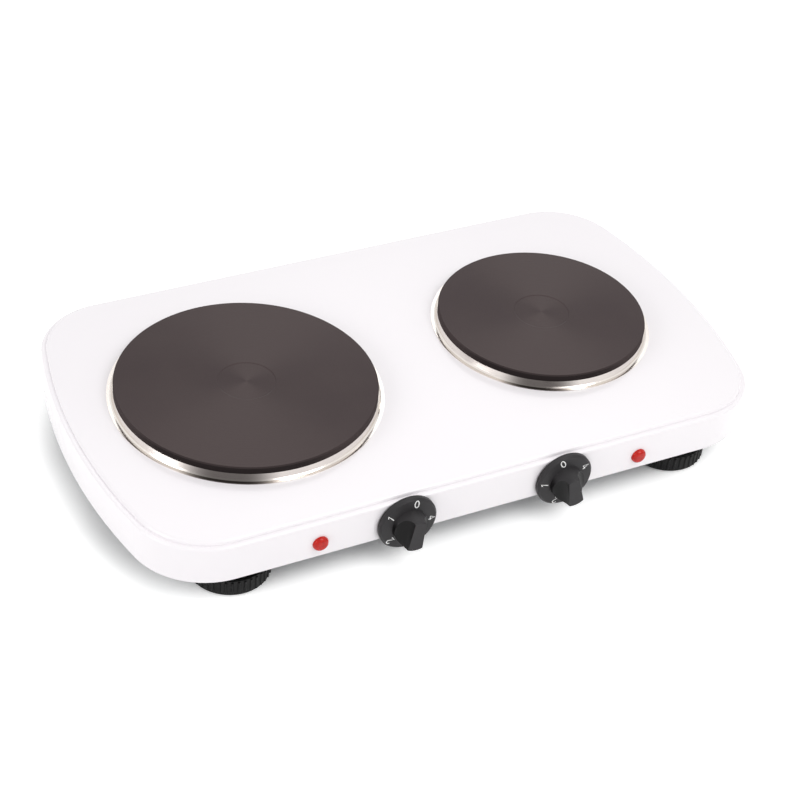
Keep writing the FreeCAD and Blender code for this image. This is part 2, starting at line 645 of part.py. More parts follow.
def build_knob(side):
    """A moulded knob: hollow dial, and a round grip with a hollow scooped into each flank."""
    body = doc.addObject("PartDesign::Body", f"{side}_knob")
    rim = "dial_dia / 2"
    face = "dial_rim + dial_bevel"
    crown = f"{face} + dial_dome"
    ceiling = f"{face} - knob_wall"
    revolve(body, "moulding", polygon(body, "moulding_section", "XZ_Plane", [
        ("hub_radius", "0"),
        ("hub_radius", ceiling),
        (f"{rim} - dial_bevel - knob_wall", ceiling),
        (f"{rim} - knob_wall", "0"),
        (rim, "0"),
        (rim, "dial_rim"),
        (f"{rim} - dial_bevel", face),
        ("grip_base", crown),
        ("grip_front", "knob_height - grip_edge"),
        ("grip_front - grip_edge", "knob_height"),
        ("0", "knob_height"),
        ("0", "0"),
    ]))
    # The hollows run along the grip's front and stand apart by its waist, wider away from the pointer.
    for way in SIDES.values():
        ends = []
        for end, waist in ((1, "waist_top"), (-1, "waist_bottom")):
            level = f"{end} * dial_dia / 2"
            middle = (f"{way} * ({waist} / 2 + scoop_radius)", "knob_height", "scoop_radius")
            ends.append(circles(body, "scoop_end", "XZ_Plane", [middle], f"-({level})"))
        scoop = body.newObject("PartDesign::SubtractiveLoft", "scoop")
        scoop.Profile = ends[0]
        scoop.Sections = [ends[1]]
        doc.recompute()
    bore = d_section(body, "bore_plan", "shaft_radius + fit_gap", "shaft_flat", "0")
    pocket(body, "bore", bore, "shaft_out - knob_gap + fit_gap", reverse=True)
    turn = FreeCAD.Rotation(FreeCAD.Vector(0, 0, 1), value(f"{side}_turn"))
    axis = f"{SIDES[side]} * knob_spacing / 2"
    subpart(body, f"{side}_knob", axis, f"{FRONT} - knob_gap", KNOB_Z, OUTWARD * turn)


def d_section(body, name, radius, flat, height):
    """A circle with one flat, on the side away from the pointer."""
    drawing = sketch(body, name, "XY_Plane", height)
    reach = value(f"{radius} - {flat}")
    around = value(radius)
    low = math.asin(-reach / around)
    upright = FreeCAD.Vector(0, 0, 1)
    circle = Part.Circle(FreeCAD.Vector(0, 0, 0), upright, around)
    drawing.addGeometry(Part.ArcOfCircle(circle, low, math.pi - low), False)
    half = math.sqrt(around ** 2 - reach ** 2)
    ends = (FreeCAD.Vector(-half, -reach, 0), FreeCAD.Vector(half, -reach, 0))
    drawing.addGeometry(Part.LineSegment(*ends), False)
    drawing.addConstraint(Sketcher.Constraint("Coincident", 0, 3, -1, 1))
    drawing.addConstraint(Sketcher.Constraint("Coincident", 0, 2, 1, 1))
    drawing.addConstraint(Sketcher.Constraint("Coincident", 1, 2, 0, 1))
    drawing.addConstraint(Sketcher.Constraint("Horizontal", 1))
    fix_radius(drawing, 0, radius)
    rule = Sketcher.Constraint("DistanceY", -1, 1, 1, 1, -reach)
    bind(drawing, f"Constraints[{drawing.addConstraint(rule)}]", f"-({radius} - {flat})")
    return drawing


def build_control(side):
    """The switch behind a knob with its flatted shaft."""
    axis = f"{SIDES[side]} * knob_spacing / 2"
    turn = FreeCAD.Rotation(FreeCAD.Vector(0, 0, 1), value(f"{side}_turn"))
    shaft = doc.addObject("PartDesign::Body", f"{side}_shaft")
    section = d_section(shaft, "shaft_plan", "shaft_radius", "shaft_flat", "-shaft_in")
    pad(shaft, "shaft", section, "shaft_in + shaft_out")
    subpart(shaft, f"{side}_shaft", axis, FRONT, KNOB_Z, OUTWARD * turn)

    body = doc.addObject("PartDesign::Body", f"{side}_control")
    corners = [
        ("-control_width / 2", "-control_height / 2"),
        ("control_width / 2", "-control_height / 2"),
        ("control_width / 2", "control_height / 2"),
        ("-control_width / 2", "control_height / 2"),
    ]
    case_plan = polygon(body, "case_plan", "XY_Plane", corners, "-sheet")
    case = pad(body, "case", case_plan, "control_depth", reverse=True)
    case_edges = body.newObject("PartDesign::Chamfer", "case_edges")
    case_edges.Base = (case, level_edges(case, "-sheet - control_depth"))
    bind(case_edges, "Size", "control_bevel")
    doc.recompute()
    bore = [("0", "0", "shaft_radius + fit_gap")]
    bore_plan = circles(body, "shaft_bore_plan", "XY_Plane", bore, "-sheet")
    pocket(body, "shaft_bore", bore_plan, "shaft_in - sheet + fit_gap")
    screws = [(f"{way} * screw_spacing / 2", "0", "screw_radius + fit_gap") for way in SIDES.values()]
    screws_plan = circles(body, "screw_bores_plan", "XY_Plane", screws, "-sheet")
    pocket(body, "screw_bores", screws_plan, "screw_length")
    for way in SIDES.values():
        middle = f"{way} * tab_spacing / 2"
        blade = polygon(body, "tab_plan", "XY_Plane", [
            (f"{middle} - tab_width / 2", "-tab_sheet / 2"),
            (f"{middle} + tab_width / 2", "-tab_sheet / 2"),
            (f"{middle} + tab_width / 2", "tab_sheet / 2"),
            (f"{middle} - tab_width / 2", "tab_sheet / 2"),
        ], "-sheet - control_depth")
        pad(body, "tab", blade, "tab_length", reverse=True)
    subpart(body, f"{side}_control", axis, FRONT, KNOB_Z, OUTWARD)


def build_control_screws():
    """Two screws through the front wall into each control, under its dial."""
    screws = []
    for side in SIDES.values():
        for way in SIDES.values():
            x = f"{side} * knob_spacing / 2 + {way} * screw_spacing / 2"
            head = cylinder("control_head", "screw_head", "screw_rise", x, "0", "0")
            shank = cylinder("control_shank", "screw_radius", "screw_length", x, "0", "-screw_length")
            screws.append(fuse("control_screw", head, shank))
    group("control_screws", screws, "0", FRONT, KNOB_Z, OUTWARD)


def build_lamp(side):
    """A domed lens with its stem through the front wall, and the holder on the stem."""
    place = (f"{SIDES[side]} * lamp_spacing / 2", FRONT, LAMP_Z, OUTWARD)
    lens = doc.addObject("PartDesign::Body", f"{side}_lamp_lens")
    dome_plan = circles(lens, "dome_plan", "XY_Plane", [("0", "0", "lamp_dia / 2")])
    dome = pad(lens, "dome", dome_plan, "lamp_height")
    round_level(lens, "dome_round", dome, "lamp_height", "lamp_round")
    stem = circles(lens, "stem_plan", "XY_Plane", [("0", "0", "lamp_stem")])
    pad(lens, "stem", stem, "lamp_stem_length", reverse=True)
    subpart(lens, f"{side}_lamp_lens", *place)
    holder = doc.addObject("PartDesign::Body", f"{side}_lamp_holder")
    shell_round = [("0", "0", "lamp_stem + fit_gap + holder_wall")]
    shell = circles(holder, "shell_plan", "XY_Plane", shell_round, "-sheet")
    pad(holder, "shell", shell, "holder_length", reverse=True)
    seat = circles(holder, "seat_plan", "XY_Plane", [("0", "0", "lamp_stem + fit_gap")], "-sheet")
    pocket(holder, "seat", seat, "lamp_stem_length - sheet")
    subpart(holder, f"{side}_lamp_holder", *place)


def build_gland():
    """The cord gland in the rear wall and the nut that holds it from inside."""
    body = doc.addObject("PartDesign::Body", "cord_gland")
    revolve(body, "gland", polygon(body, "gland_section", "XZ_Plane", [
        ("gland_bore", "-gland_inside"),
        ("gland_thread", "-gland_inside"),
        ("gland_thread", "0"),
        ("gland_flange", "0"),
        ("gland_flange", "gland_flange_height"),
        ("gland_dome", "gland_flange_height"),
        ("gland_dome", "gland_reach - gland_bevel"),
        ("gland_dome - gland_bevel", "gland_reach"),
        ("gland_bore", "gland_reach"),
    ]))
    subpart(body, "cord_gland", "0", REAR, GLAND_Z, REARWARD)
    low = "-sheet - gland_nut_height"
    blank = hexagon("gland_nut_blank", "gland_nut_radius", "gland_nut_height", z=low)
    bore = cylinder("gland_nut_bore", "gland_thread + fit_gap", "gland_nut_height", z=low)
    subpart(cut("gland_nut", blank, bore), "gland_nut", "0", REAR, GLAND_Z, REARWARD)


def build_terminal_block():
    """The mains terminal block on the base plate, with a wire way and a screw well for each wire."""
    body = doc.addObject("PartDesign::Body", "terminal_block")
    corners = [
        ("-block_width / 2", "-block_depth / 2"),
        ("block_width / 2", "-block_depth / 2"),
        ("block_width / 2", "block_depth / 2"),
        ("-block_width / 2", "block_depth / 2"),
    ]
    pad(body, "block", polygon(body, "block_plan", "XY_Plane", corners), "block_height")
    ways = [(f"{k} * way_spacing", "block_height / 2", "wire_radius + way_gap") for k in WAYS.values()]
    pocket(body, "ways", circles(body, "ways_plan", "XZ_Plane", ways), "2 * block_depth", both=True)
    wells = [(x, "0", "wire_radius") for x, z, radius in ways]
    wells_plan = circles(body, "wells_plan", "XY_Plane", wells, "block_height")
    pocket(body, "wells", wells_plan, "block_height / 2")
    subpart(body, "terminal_block", "0", f"{REAR} - block_inset", "skirt_clear")


def build_foot(corner):
    """A ribbed foot wheel, hollow above, on its threaded stud."""
    place = foot_place(corner)
    body = doc.addObject("PartDesign::Body", f"{corner}_foot_wheel")
    inner = "wheel_radius - wheel_wall"
    bore = "foot_stud_radius + fit_gap"
    revolve(body, "cup", polygon(body, "cup_section", "XZ_Plane", [
        ("0", "0"),
        ("wheel_radius - wheel_bevel", "0"),
        ("wheel_radius", "wheel_bevel"),
        ("wheel_radius", "wheel_height"),
        (inner, "wheel_height"),
        (inner, "wheel_floor"),
        ("wheel_boss", "wheel_floor"),
        ("wheel_boss", "wheel_boss_height"),
        (bore, "wheel_boss_height"),
        (bore, "wheel_floor"),
        ("0", "wheel_floor"),
    ]))
    rib_plan = polygon(body, "rib_plan", "XY_Plane", [
        ("wheel_radius - rib_rise", "-rib_width / 2"),
        ("wheel_radius", "-rib_width / 2"),
        ("wheel_radius + rib_rise", "-rib_width / 4"),
        ("wheel_radius + rib_rise", "rib_width / 4"),
        ("wheel_radius", "rib_width / 2"),
        ("wheel_radius - rib_rise", "rib_width / 2"),
    ], "wheel_bevel + rib_margin")
    rib = pad(body, "rib", rib_plan, "wheel_height - wheel_bevel - 2 * rib_margin")
    ribs = body.newObject("PartDesign::PolarPattern", "ribs")
    ribs.Originals = [rib]
    ribs.Axis = (rib_plan, ["N_Axis"])
    ribs.Angle = 360
    bind(ribs, "Occurrences", "rib_count")
    body.Tip = ribs
    doc.recompute()
    subpart(body, f"{corner}_foot_wheel", *place)
    stud_length = "skirt_clear - base_sheet + foot_stud_top - wheel_floor"
    stud = cylinder(f"{corner}_foot_stud", "foot_stud_radius", stud_length)
    subpart(stud, f"{corner}_foot_stud", *place, "wheel_floor")


def build_wire(label, route):
    """An insulated lead along straight runs that tangent arcs join."""
    points = [FreeCAD.Vector(*[value(formula) for formula in point]) for point in route]
    edges = []
    start = points[0]
    for before, corner, after in zip(points, points[1:], points[2:]):
        back = (before - corner).normalize()
        onward = (after - corner).normalize()
        half_turn = (math.pi - back.getAngle(onward)) / 2
        shorter = min(before.distanceToPoint(corner), after.distanceToPoint(corner))
        radius = min(value("wire_bend"), 0.45 * shorter / math.tan(half_turn))
        tangent = radius * math.tan(half_turn)
        inside = (back + onward).normalize()
        middle = corner + inside * (math.hypot(radius, tangent) - radius)
        edges.append(Part.LineSegment(start, corner + back * tangent).toShape())
        edges.append(Part.Arc(corner + back * tangent, middle, corner + onward * tangent).toShape())
        start = corner + onward * tangent
    edges.append(Part.LineSegment(start, points[-1]).toShape())
    path = Part.Wire(edges)
    section = Part.Circle(points[0], points[1] - points[0], value("wire_radius")).toShape()
    lead = path.makePipeShell([Part.Wire(section)], True, False)
    expected = path.Length * math.pi * value("wire_radius") ** 2
    if abs(lead.Volume / expected - 1) > 0.01:
        raise ValueError(f"{label} is not as long as its route")
    item = doc.addObject("Part::Feature", label)
    item.Shape = lead
    subpart(item, label)


def build_wiring():
    """Leads from the terminal block to the controls and the earth post, and on to plates and lamps."""
    way_end = f"{REAR} - block_inset - block_depth / 2"
    way_z = "skirt_clear + block_height / 2"
    tab_end = f"{FRONT} + sheet + control_depth + tab_length"
    pin_end = f"{PLATE_TOP} + ({UNDERSIDE}) + fill_gap - pin_length"
    for side, sign in SIDES.items():
        plate_axis = f"{sign} * plate_spacing / 2"
        near_tab = f"{sign} * (knob_spacing - tab_spacing) / 2"
        far_tab = f"{sign} * (knob_spacing + tab_spacing) / 2"
        near_pin = f"{plate_axis} - {sign} * pin_spacing / 2"
        far_pin = f"{plate_axis} + {sign} * pin_spacing / 2"
        feed_way = f"{WAYS[side + '_feed']} * way_spacing"
        return_way = f"{WAYS[side + '_return']} * way_spacing"
        low = f"{pin_end} - wire_drop"
        build_wire(f"{side}_feed_wire", [
            (feed_way, way_end, way_z),
            (feed_way, f"{way_end} - wire_run", way_z),
            (near_tab, f"{tab_end} + wire_run", KNOB_Z),
            (near_tab, tab_end, KNOB_Z),
        ])
        build_wire(f"{side}_plate_wire", [
            (far_tab, tab_end, KNOB_Z),
            (far_tab, f"{tab_end} + wire_lead", KNOB_Z),
            (f"({far_tab} + {near_pin}) / 2", "-pin_offset - wire_lead", low),
            (near_pin, "-pin_offset", low),
            (near_pin, "-pin_offset", pin_end),
        ])
        build_wire(f"{side}_return_wire", [
            (far_pin, "-pin_offset", pin_end),
            (far_pin, "-pin_offset", low),
            (return_way, f"{way_end} - wire_run", way_z),
            (return_way, way_end, way_z),
        ])
        lamp_axis = f"{sign} * lamp_spacing / 2"
        holder_end = f"{FRONT} + sheet + holder_length"
        control_back = f"{FRONT} + sheet + control_depth"
        contact = f"{sign} * (knob_spacing / 2 + control_width / 2 - control_bevel - 2 * wire_radius)"
        upper = f"{KNOB_Z} + control_height / 4"
        build_wire(f"{side}_lamp_wire", [
            (lamp_axis, holder_end, LAMP_Z),
            (lamp_axis, f"{holder_end} + wire_lead", LAMP_Z),
            (contact, f"{control_back} + wire_lead", upper),
            (contact, control_back, upper),
        ])
    post = cylinder("earth_post", "post_radius", "post_height")
    subpart(post, "earth_post", "0", f"{REAR} - post_inset", "skirt_clear")
    foot = "skirt_clear + post_height / 2"
    build_wire("earth_wire", [
        ("0", way_end, way_z),
        ("0", f"{way_end} - wire_lead", way_z),
        ("0", f"{way_end} - wire_lead * 3 / 2", foot),
        ("0", f"{REAR} - post_inset + post_radius", foot),
    ])


def write_parts():
    """Check every object, then write one file for each sub-part."""
    doc.recompute()
    for item in doc.Objects:
        if "Invalid" in item.State or "Error" in item.State:
            raise ValueError(f"{item.Label} failed: {item.State}")
    for item in SUBPARTS:
        if item.Shape.isNull() or not item.Shape.isValid():
            raise ValueError(f"{item.Label} has no valid shape")
    os.makedirs("parts", exist_ok=True)
    for item in SUBPARTS:
        item.Shape.exportStep(f"parts/{item.Label}.step")
    print(len(SUBPARTS), "sub-parts written")


build_housing()
build_base()
for plate_name in PLATES:
    build_plate(plate_name)
build_plate_fasteners()
for side_name in SIDES:
    build_knob(side_name)
    build_control(side_name)
    build_lamp(side_name)
build_control_screws()
build_gland()
build_terminal_block()
build_wiring()
for corner_name in CORNERS:
    build_foot(corner_name)
write_parts()
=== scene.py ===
import json
import math

import bpy
from mathutils import Matrix, Vector


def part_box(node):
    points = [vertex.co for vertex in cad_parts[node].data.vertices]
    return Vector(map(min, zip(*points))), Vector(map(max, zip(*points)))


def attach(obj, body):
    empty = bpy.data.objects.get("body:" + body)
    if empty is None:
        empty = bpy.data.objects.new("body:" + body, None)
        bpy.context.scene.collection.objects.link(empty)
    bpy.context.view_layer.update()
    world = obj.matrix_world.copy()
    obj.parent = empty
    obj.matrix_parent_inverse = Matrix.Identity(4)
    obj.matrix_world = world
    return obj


# A double hot plate: white enamel, dark cast-iron plates, black knobs with white figures.
# Metres, in the frame of the solids.

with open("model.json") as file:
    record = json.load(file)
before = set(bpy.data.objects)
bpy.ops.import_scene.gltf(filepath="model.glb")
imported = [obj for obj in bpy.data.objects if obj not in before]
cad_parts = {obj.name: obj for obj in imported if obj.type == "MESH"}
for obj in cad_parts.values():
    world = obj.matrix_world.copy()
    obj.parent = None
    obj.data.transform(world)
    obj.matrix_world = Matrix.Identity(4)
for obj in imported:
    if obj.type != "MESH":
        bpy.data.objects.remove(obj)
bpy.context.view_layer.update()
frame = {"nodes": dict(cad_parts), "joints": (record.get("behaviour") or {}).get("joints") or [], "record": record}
nodes = frame["nodes"]
joints = {joint["name"]: joint for joint in frame["joints"]}
SIDES = ("left", "right")
PLATES = ("large", "small")

# Camera, placed by the plates and the housing in the photograph.
PHOTO_WIDTH = 800
FOCAL_PIXELS = 1875.7
SENSOR_WIDTH = 36.0
CAMERA_AZIMUTH = math.radians(-29.81)
CAMERA_ELEVATION = math.radians(38.79)
CAMERA_ROLL = math.radians(5.81)
CAMERA_DISTANCE = 1.30386
# The aimed point lies at plate-top height, measured from the middle of the housing.
AIM_RIGHT = -0.0274
AIM_BACK = -0.0572

# Light: an even surround and three round lamps.
WORLD_STRENGTH = 0.66
LAMPS = {
    "back": {"place": Vector((0.6, 0.95, 1.5)), "width": 1.3, "watts": 3.0},
    "front": {"place": Vector((0.5, -1.1, 1.6)), "width": 1.2, "watts": 13.0},
    "left": {"place": Vector((-1.7, -0.2, 0.8)), "width": 1.0, "watts": 7.0},
}

# Floor. From the housing's edges outward a painted glow lifts it to white where it is seen, which narrows the
# shadow.
FLOOR_SIZE = 8.0
FLOOR_TONE = 0.98
FLOOR_ROUGHNESS = 0.9
FLOOR_LIFT = 0.4
# The lift starts this far inside the housing's edges, with rounded corners, and grows over the fade.
SHADOW_INSET = Vector((0.013, 0.0215, 0.0))
SHADOW_CORNER = 0.085
SHADOW_FADE = 0.026

# Finishes by slot: two tones that drift into each other, the range of the roughness, the fineness and
# depth of the grain, and the shader's values that are the same all over.
FINISHES = {
    # A gloss coat with a faint orange peel.
    "white_enamel": {
        "tones": ((0.9, 0.868, 0.893), (0.905, 0.875, 0.897)), "tone_scale": 6.0, "roughness": (0.18, 0.25),
        "grain_scale": 90.0, "grain_depth": 0.00001, "grain_strength": 0.3,
        "Coat Weight": 0.3, "Coat Roughness": 0.16,
    },
    "zinc_sheet": {
        "tones": ((0.55, 0.56, 0.57), (0.66, 0.67, 0.68)), "tone_scale": 60.0, "roughness": (0.3, 0.45),
        "grain_scale": 700.0, "grain_depth": 0.00003, "Metallic": 1.0,
    },
    "zinc_steel": {
        "tones": ((0.6, 0.6, 0.59), (0.7, 0.69, 0.66)), "tone_scale": 90.0, "roughness": (0.29, 0.42),
        "grain_scale": 1200.0, "grain_depth": 0.00003, "Metallic": 1.0,
    },
    "black_plastic": {
        "tones": ((0.006, 0.006, 0.0062), (0.009, 0.009, 0.0092)), "roughness": (0.4, 0.52),
        "grain_scale": 1800.0, "grain_depth": 0.00005, "Specular IOR Level": 0.2,
    },
    # A deep red moulding with a clear gloss.
    "red_lens": {
        "tones": ((0.56, 0.01, 0.003), (0.42, 0.006, 0.002)), "tone_scale": 500.0, "roughness": (0.1, 0.2),
        "grain_scale": 900.0, "grain_depth": 0.00002, "grain_strength": 0.4,
        "Coat Weight": 0.4, "Coat Roughness": 0.05, "Specular IOR Level": 0.1,
    },
    "black_moulding": {
        "tones": ((0.02, 0.02, 0.02), (0.028, 0.028, 0.028)), "roughness": (0.4, 0.55),
        "grain_scale": 1600.0, "grain_depth": 0.00005,
    },
    "magnesia": {
        "tones": ((0.58, 0.54, 0.48), (0.66, 0.62, 0.56)), "roughness": (0.8, 0.95),
        "grain_scale": 2500.0, "grain_depth": 0.0001,
    },
    "ceramic": {
        "tones": ((0.82, 0.8, 0.75), (0.88, 0.86, 0.81)), "roughness": (0.5, 0.7),
        "grain_scale": 2000.0, "grain_depth": 0.00006,
    },
    "pale_moulding": {
        "tones": ((0.76, 0.75, 0.71), (0.82, 0.81, 0.77)), "roughness": (0.4, 0.55),
        "grain_scale": 1500.0, "grain_depth": 0.00004,
    },
    "glass_sleeved_lead": {
        "tones": ((0.74, 0.71, 0.64), (0.84, 0.81, 0.74)), "tone_scale": 300.0, "roughness": (0.7, 0.9),
        "grain_scale": 2600.0, "grain_depth": 0.00015,
    },
    "earth_lead": {
        "tones": ((0.16, 0.45, 0.08), (0.2, 0.52, 0.1)), "roughness": (0.35, 0.5),
        "grain_scale": 1500.0, "grain_depth": 0.00004,
    },
}
FIGURE_INK = {
    "tones": ((0.88, 0.88, 0.87), (0.93, 0.93, 0.92)), "tone_scale": 900.0, "roughness": (0.45, 0.6),
    "grain_scale": 3000.0, "grain_depth": 0.00003,
}

# The noise lies almost wholly inside these ranges.
GRAIN_RANGE = (0.3, 0.7)
TONE_RANGE = (0.35, 0.65)
# Upward share of a surface's facing, from a wall to a level top.
LEVEL_RANGE = (0.6, 0.95)

# Sheen and shade painted on the plates and rings, in line with the photograph's viewpoint and fixed to
# the object. They do not come from the lamps. Turns are in radians.
PAINTED_SHADE_AND_REFLECTION_TURN = 2.09
FACE_SHEEN_TURN = -1.05
CAST_ROUGHNESS = 0.85

# Painted shade on the flanks of the grips, by the sideways and the upright share of their facing.
FLANK_SIDEWAYS = (0.1, 0.3)
FLANK_UPRIGHT = (0.6, 0.25)
FLANK_SHADE = (0.004, 0.0038, 0.004)

# Figures on the dials.
FIGURE_HEIGHT = 0.0058
FIGURE_STROKE = 0.0008
FIGURE_RADIUS = 0.0170
FIGURE_FLATNESS = 0.1
# The first two figures lean toward each other a little.
FIGURE_LEAN = {"0": math.radians(12), "1": math.radians(-11)}
FIGURE_TURN = {"left": math.radians(-15.5), "right": math.radians(14.8)}
DIAL_FACE = 0.0040
DIAL_CROWN = 0.0048
DIAL_BEVEL = 0.0014
GRIP_BASE_RADIUS = 0.0127
DIAL_TO_WALL = 0.001


def middle(node):
    """The centre of a node's box."""
    low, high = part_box(node)
    return (low + high) / 2


def rgb(red, green, blue):
    """A colour with full alpha."""
    return (red, green, blue, 1.0)


# Nodes that the shader groups, the materials and the world are put together from.

def feed(tree, sockets, items):
    """Join each socket to its item, or set it if the item is a value."""
    for socket, item in zip(sockets, items):
        if isinstance(item, bpy.types.NodeSocket):
            tree.links.new(item, socket)
        else:
            socket.default_value = item


def in_use(sockets):
    """The sockets that a node's settings leave open."""
    return [socket for socket in sockets if socket.enabled]


def math_node(tree, operation, *items):
    """A sum on numbers, each a socket or a value."""
    node = tree.nodes.new("ShaderNodeMath")
    node.operation = operation
    feed(tree, node.inputs, items)
    return node.outputs["Value"]


def vector_node(tree, operation, *items):
    """A sum on vectors, each a socket or a value."""
    node = tree.nodes.new("ShaderNodeVectorMath")
    node.operation = operation
    feed(tree, node.inputs, items)
    return in_use(node.outputs)[0]


def mix_node(tree, kind, factor, first, second):
    """A blend of two colours or numbers by a factor."""
    node = tree.nodes.new("ShaderNodeMix")
    node.data_type = kind
    feed(tree, in_use(node.inputs), (factor, first, second))
    return in_use(node.outputs)[0]


def range_node(tree, value, given, wanted=(0.0, 1.0), curve="LINEAR"):
    """A value carried from one range to another and held at its ends."""
    node = tree.nodes.new("ShaderNodeMapRange")
    node.interpolation_type = curve
    labels = ("Value", "From Min", "From Max", "To Min", "To Max")
    feed(tree, [node.inputs[label] for label in labels], (value, *given, *wanted))
    return node.outputs["Result"]


def place_of(tree):
    """Each point's place in its own piece."""
    return tree.nodes.new("ShaderNodeTexCoord").outputs["Object"]


def noise_node(tree, scale, detail, roughness):
    """Noise that stays with the piece."""
    node = tree.nodes.new("ShaderNodeTexNoise")
    labels = ("Vector", "Scale", "Detail", "Roughness")
    feed(tree, [node.inputs[label] for label in labels], (place_of(tree), scale, detail, roughness))
    return node.outputs["Fac"]


def parts_of(tree, vector):
    """A vector's X, Y and Z."""
    node = tree.nodes.new("ShaderNodeSeparateXYZ")
    tree.links.new(vector, node.inputs[0])
    return node.outputs


# Shader groups shared by the materials.

def new_group(name, inputs, outputs):
    """An empty shader group with named sockets, what it is given and what it puts out."""
    group = bpy.data.node_groups.new(name, "ShaderNodeTree")
    for kind, label, default in inputs:
        socket = group.interface.new_socket(name=label, in_out="INPUT", socket_type=kind)
        socket.default_value = default
    for kind, label in outputs:
        group.interface.new_socket(name=label, in_out="OUTPUT", socket_type=kind)
    given = group.nodes.new("NodeGroupInput").outputs
    result = group.nodes.new("NodeGroupOutput").inputs
    return group, given, result


def grain_group():
    """Fine noise: a height for bumps and the same noise spread between two values."""
    group, given, result = new_group(
        "grain",
        [
            ("NodeSocketFloat", "Scale", 400.0),
            ("NodeSocketFloat", "Low", 0.2),
            ("NodeSocketFloat", "High", 0.4),
        ],
        [("NodeSocketFloat", "Height"), ("NodeSocketFloat", "Spread")],
    )
    noise = noise_node(group, given["Scale"], detail=4.0, roughness=0.6)
    spread = range_node(group, noise, GRAIN_RANGE, (given["Low"], given["High"]))
    group.links.new(noise, result["Height"])
    group.links.new(spread, result["Spread"])
    return group


def tone_group():
    """Two colours that drift into each other over broad soft patches."""
    group, given, result = new_group(
        "tone",
        [
            ("NodeSocketFloat", "Scale", 12.0),
            ("NodeSocketColor", "First", rgb(1, 1, 1)),
            ("NodeSocketColor", "Second", rgb(1, 1, 1)),
        ],
        [("NodeSocketColor", "Color")],
    )
    noise = noise_node(group, given["Scale"], detail=3.0, roughness=0.5)
    patches = range_node(group, noise, TONE_RANGE)
    group.links.new(mix_node(group, "RGBA", patches, given["First"], given["Second"]), result["Color"])
    return group


def around_axis(group, centre):
    """Each point's place across and along, measured from an upright axis."""
    parts = parts_of(group, vector_node(group, "SUBTRACT", place_of(group), centre))
    return parts["X"], parts["Y"]


def turning_group():
    """Concentric tool marks about an upright axis, as a height."""
    group, given, result = new_group(
        "turning",
        [("NodeSocketVector", "Centre", (0, 0, 0)), ("NodeSocketFloat", "Pitch", 0.0006)],
        [("NodeSocketFloat", "Height")],
    )
    squares = [math_node(group, "MULTIPLY", side, side) for side in around_axis(group, given["Centre"])]
    radius = math_node(group, "SQRT", math_node(group, "ADD", *squares))
    # Each mark has its own depth, drawn from its place along the radius.
    marks = group.nodes.new("ShaderNodeTexNoise")
    marks.noise_dimensions = "1D"
    marks.inputs["Scale"].default_value = 1.0
    marks.inputs["Detail"].default_value = 3.0
    group.links.new(math_node(group, "DIVIDE", radius, given["Pitch"]), marks.inputs["W"])
    group.links.new(marks.outputs["Fac"], result["Height"])
    return group


def sector_group():
    """A tint over a plain colour, in soft sectors round an upright axis: painted sheen, shade and reflections.

    A wave from -1 to 1 runs round the axis. The tint starts where it passes Edge and is whole at Full.
    """
    group, given, result = new_group(
        "sectors",
        [
            ("NodeSocketVector", "Centre", (0, 0, 0)),
            ("NodeSocketFloat", "Count", 2.0),
            ("NodeSocketFloat", "Turn", 0.0),
            ("NodeSocketFloat", "Edge", -1.0),
            ("NodeSocketFloat", "Full", 1.0),
            ("NodeSocketColor", "Plain", rgb(1, 1, 1)),
            ("NodeSocketColor", "Tint", rgb(1, 1, 1)),
        ],
        [("NodeSocketColor", "Color")],
    )
    across, along = around_axis(group, given["Centre"])
    turned = math_node(group, "ADD", math_node(group, "ARCTAN2", along, across), given["Turn"])
    wave = math_node(group, "COSINE", math_node(group, "MULTIPLY", turned, given["Count"]))
    sectors = range_node(group, wave, (given["Edge"], given["Full"]), curve="SMOOTHSTEP")
    group.links.new(mix_node(group, "RGBA", sectors, given["Plain"], given["Tint"]), result["Color"])
    return group


def level_group():
    """How level a surface lies: 0 on walls and 1 on tops."""
    group, _, result = new_group("level", [], [("NodeSocketFloat", "Mask")])
    facing = group.nodes.new("ShaderNodeNewGeometry").outputs["Normal"]
    upward = parts_of(group, facing)["Z"]
    group.links.new(range_node(group, upward, LEVEL_RANGE), result["Mask"])
    return group


GRAIN = grain_group()
TONE = tone_group()
TURNING = turning_group()
PAINTED_SECTORS = sector_group()
LEVEL = level_group()


# Materials.

def new_material(name, settings):
    """A material with one surface shader; settings are the values that are the same all over."""
    material = bpy.data.materials.new(name)
    material.use_nodes = True
    shader = material.node_tree.nodes["Principled BSDF"]
    for socket, number in settings.items():
        shader.inputs[socket].default_value = number
    return material, shader


def use_group(material, group, **inputs):
    """Put a shader group into a material, with its own values."""
    node = material.node_tree.nodes.new("ShaderNodeGroup")
    node.node_tree = group
    for label, number in inputs.items():
        node.inputs[label].default_value = number
    return node


def link(material, source, target):
    """Join two sockets of a material."""
    material.node_tree.links.new(source, target)


def add_bump(material, shader, height, distance, strength, under=None):
    """Bend the shader's normal by a height, on top of another bump if there is one."""
    bump = material.node_tree.nodes.new("ShaderNodeBump")
    bump.inputs["Distance"].default_value = distance
    bump.inputs["Strength"].default_value = strength
    link(material, height, bump.inputs["Height"])
    if under:
        link(material, under.outputs["Normal"], bump.inputs["Normal"])
    link(material, bump.outputs["Normal"], shader.inputs["Normal"])
    return bump


def plain_material(
    name, tones, roughness, grain_scale, grain_depth, grain_strength=0.5, tone_scale=30.0, **settings
):
    """A surface with drifting colour, uneven roughness and a fine grain."""
    material, shader = new_material(name, settings)
    first, second = tones
    low, high = roughness
    tone = use_group(material, TONE, Scale=tone_scale, First=rgb(*first), Second=rgb(*second))
    grain = use_group(material, GRAIN, Scale=grain_scale, Low=low, High=high)
    link(material, tone.outputs["Color"], shader.inputs["Base Color"])
    link(material, grain.outputs["Spread"], shader.inputs["Roughness"])
    add_bump(material, shader, grain.outputs["Height"], grain_depth, grain_strength)
    return material


